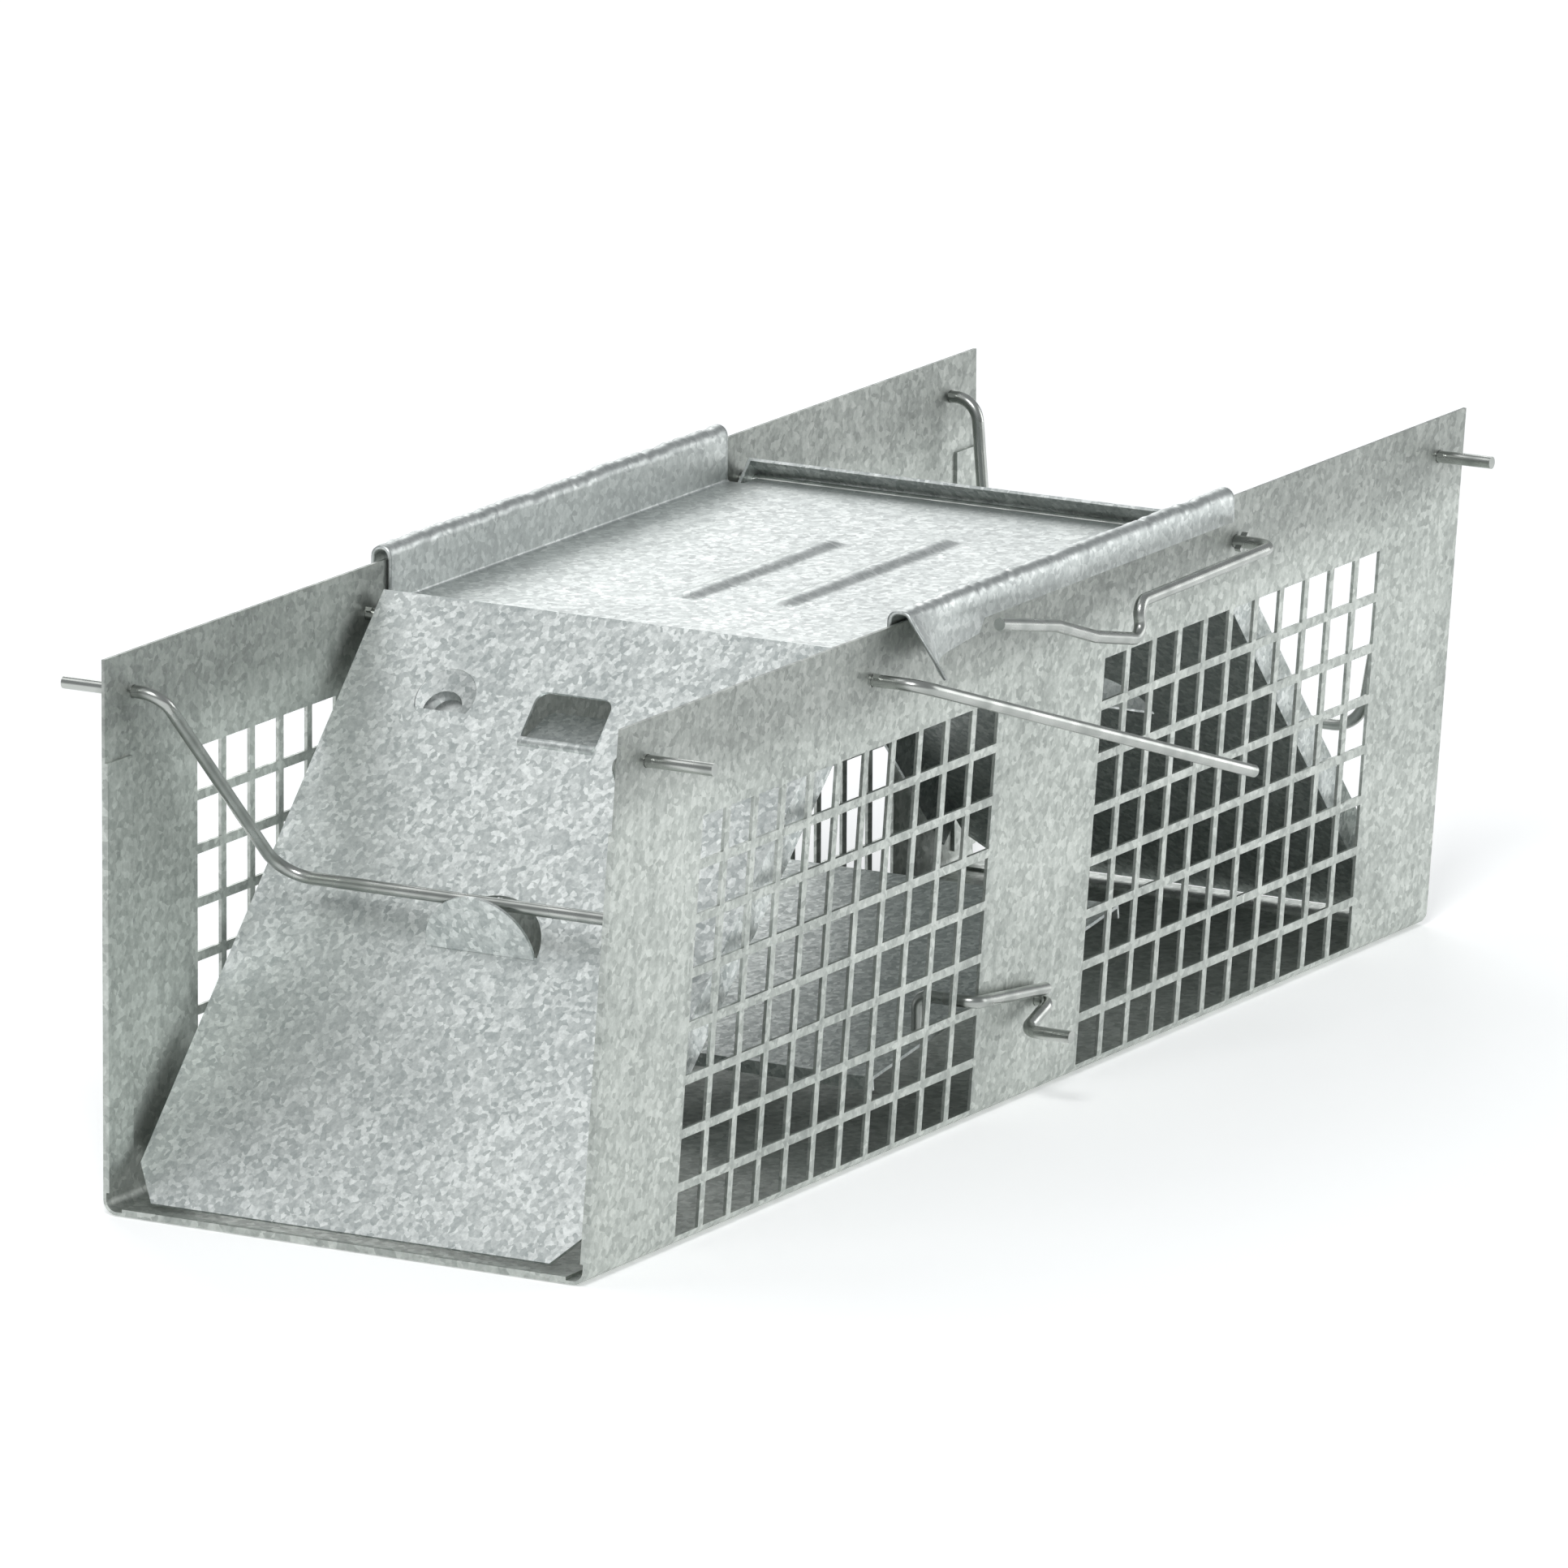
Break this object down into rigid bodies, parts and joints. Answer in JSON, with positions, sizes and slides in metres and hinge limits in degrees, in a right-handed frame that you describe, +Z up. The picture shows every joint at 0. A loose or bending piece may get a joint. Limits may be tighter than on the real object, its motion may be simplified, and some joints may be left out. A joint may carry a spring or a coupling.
{
  "type": "live catch trap",
  "caption": "Long box trap of galvanised sheet with mesh windows, a sloping door at each end, wire lock bails and a tilting treadle.",
  "frame": {"origin": "underside of the floor, below the middle of the cage body", "axes": "+X along the tunnel toward door B, +Y toward the left wall that carries no arms, +Z up"},
  "size_m": [0.4064, 0.1931, 0.134],
  "materials": {
    "galvanised_sheet": "galvanised, dull spangle",
    "bright_galvanised_sheet": "galvanised, bright spangle",
    "zinc_wire": "bright zinc plated"
  },
  "bodies": {
    "housing": {"floor_pan": "galvanised_sheet", "left_wall": "galvanised_sheet", "right_wall": "galvanised_sheet", "top_plate": "bright_galvanised_sheet"},
    "door_a": {"door_a": "galvanised_sheet", "hinge_rod_a": "zinc_wire"},
    "door_b": {"door_b": "galvanised_sheet", "hinge_rod_b": "zinc_wire"},
    "lock_bail_a": {"lock_bail_a": "zinc_wire"},
    "lock_bail_b": {"lock_bail_b": "zinc_wire"},
    "treadle": {"treadle_rod": "zinc_wire", "treadle_pan": "galvanised_sheet", "treadle_stay": "zinc_wire", "treadle_straps": "galvanised_sheet"}
  },
  "joints": [
    {"name": "door_a_swing", "type": "hinge", "parent": "housing", "child": "door_a", "pos_m": [-0.0871, 0, 0.1188], "axis": [0, 1, 0], "range_deg": [0, 43]},
    {"name": "door_b_swing", "type": "hinge", "parent": "housing", "child": "door_b", "pos_m": [0.0871, 0, 0.1188], "axis": [0, -1, 0], "range_deg": [0, 43]},
    {"name": "lock_bail_a_swing", "type": "hinge", "parent": "housing", "child": "lock_bail_a", "pos_m": [-0.1905, 0, 0.1204], "axis": [0, -1, 0], "range_deg": [0, 142]},
    {"name": "lock_bail_b_swing", "type": "hinge", "parent": "housing", "child": "lock_bail_b", "pos_m": [0.1905, 0, 0.1204], "axis": [0, -1, 0], "range_deg": [0, 87]},
    {"name": "treadle_tilt", "type": "hinge", "parent": "housing", "child": "treadle", "pos_m": [0.0035, 0, 0.0235], "axis": [0, 1, 0], "range_deg": [0, 10]}
  ],
  "couplings": [
    {"joint": "lock_bail_a_swing", "follows": "door_a_swing", "ratio": 3.3},
    {"joint": "lock_bail_b_swing", "follows": "door_b_swing", "ratio": 2}
  ]
}
